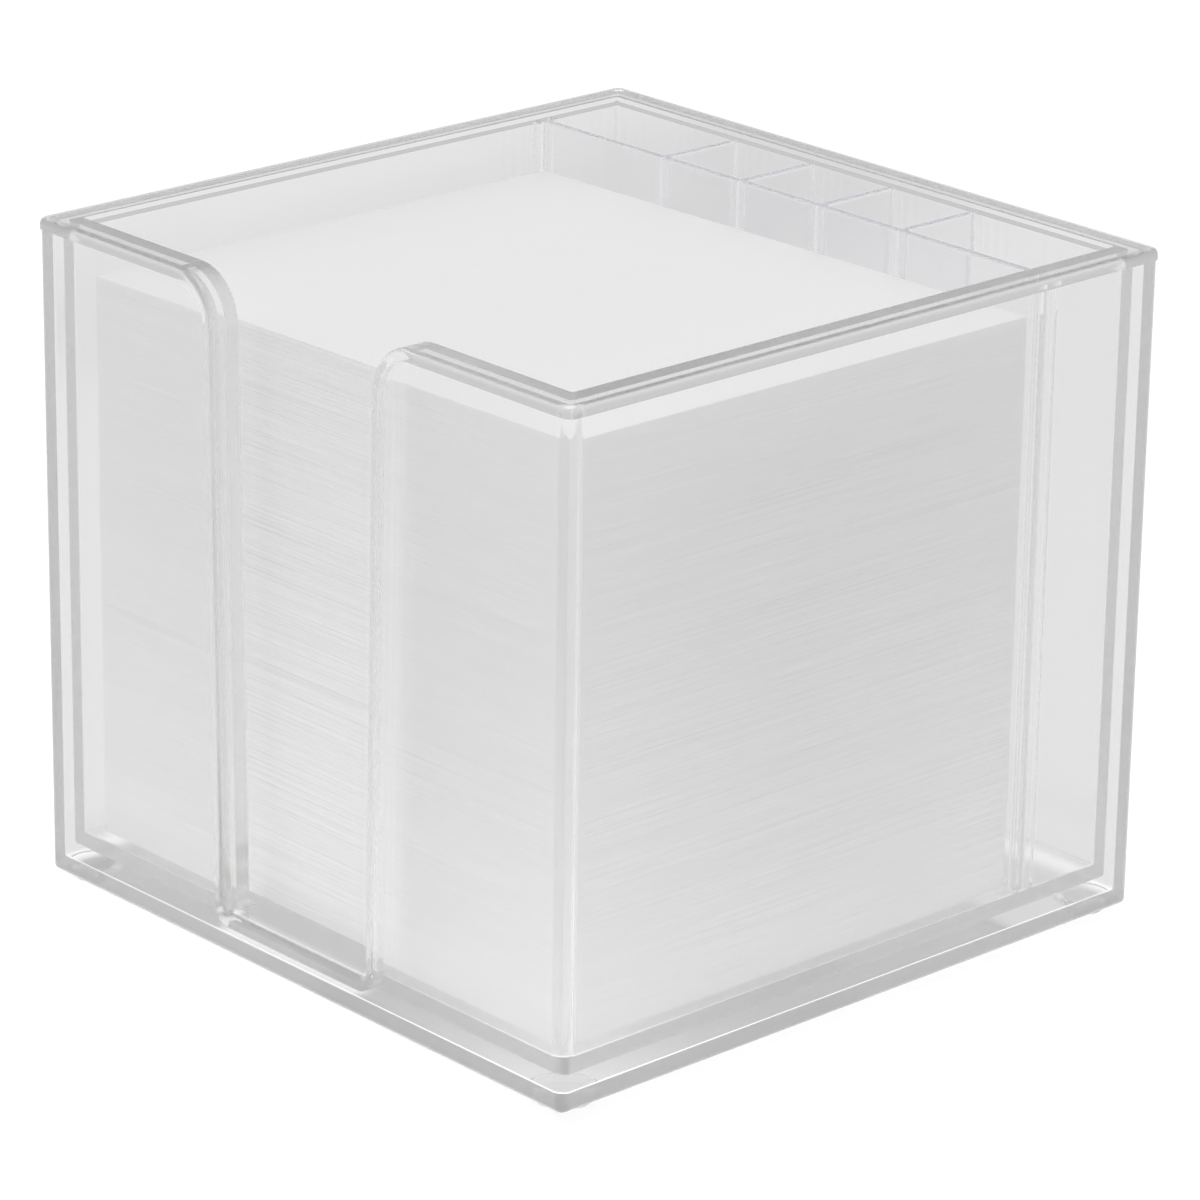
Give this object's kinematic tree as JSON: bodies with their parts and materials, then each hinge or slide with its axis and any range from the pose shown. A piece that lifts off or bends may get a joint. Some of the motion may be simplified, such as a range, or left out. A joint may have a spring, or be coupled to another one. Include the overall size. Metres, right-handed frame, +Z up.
{
  "type": "memo pad holder",
  "caption": "Clear double-walled memo box with a finger slot in front, loose white sheets and a lift-out pen insert behind them.",
  "frame": {"origin": "middle of the footprint, on the plane that the four feet stand on", "axes": "+Z up, -Y towards the front with the finger slot, +X to the right seen from the front"},
  "size_m": [0.1018, 0.101, 0.0909],
  "materials": {
    "clear_shell": "polished clear polystyrene",
    "clear_insert": "polished clear polystyrene",
    "clear_foot": "clear soft resin",
    "memo_paper": "uncoated white"
  },
  "bodies": {
    "box": {"outer_shell": "clear_shell", "inner_shell": "clear_shell", "foot_front_left": "clear_foot", "foot_front_right": "clear_foot", "foot_rear_left": "clear_foot", "foot_rear_right": "clear_foot"},
    "memo_stack": {"memo_sheaf_01": "memo_paper", "memo_sheaf_02": "memo_paper", "memo_sheaf_03": "memo_paper", "memo_sheaf_04": "memo_paper", "memo_sheaf_05": "memo_paper", "memo_sheaf_06": "memo_paper", "memo_sheaf_07": "memo_paper", "memo_sheaf_08": "memo_paper", "memo_sheaf_09": "memo_paper", "memo_sheaf_10": "memo_paper", "memo_sheaf_11": "memo_paper", "memo_sheaf_12": "memo_paper", "memo_sheaf_13": "memo_paper", "memo_sheaf_14": "memo_paper", "memo_sheaf_15": "memo_paper"},
    "top_sheaf": {"memo_sheaf_16": "memo_paper"},
    "insert": {"pen_insert": "clear_insert"}
  },
  "joints": [
    {"name": "memo_stack_lift", "type": "slide", "parent": "box", "child": "memo_stack", "axis": [0, 0, 1], "range_m": [0, 0.09]},
    {"name": "top_sheaf_lift", "type": "slide", "parent": "memo_stack", "child": "top_sheaf", "axis": [0, 0, 1], "range_m": [0, 0.04]},
    {"name": "pen_insert_lift", "type": "slide", "parent": "box", "child": "insert", "axis": [0, 0, 1], "range_m": [0, 0.09]}
  ]
}
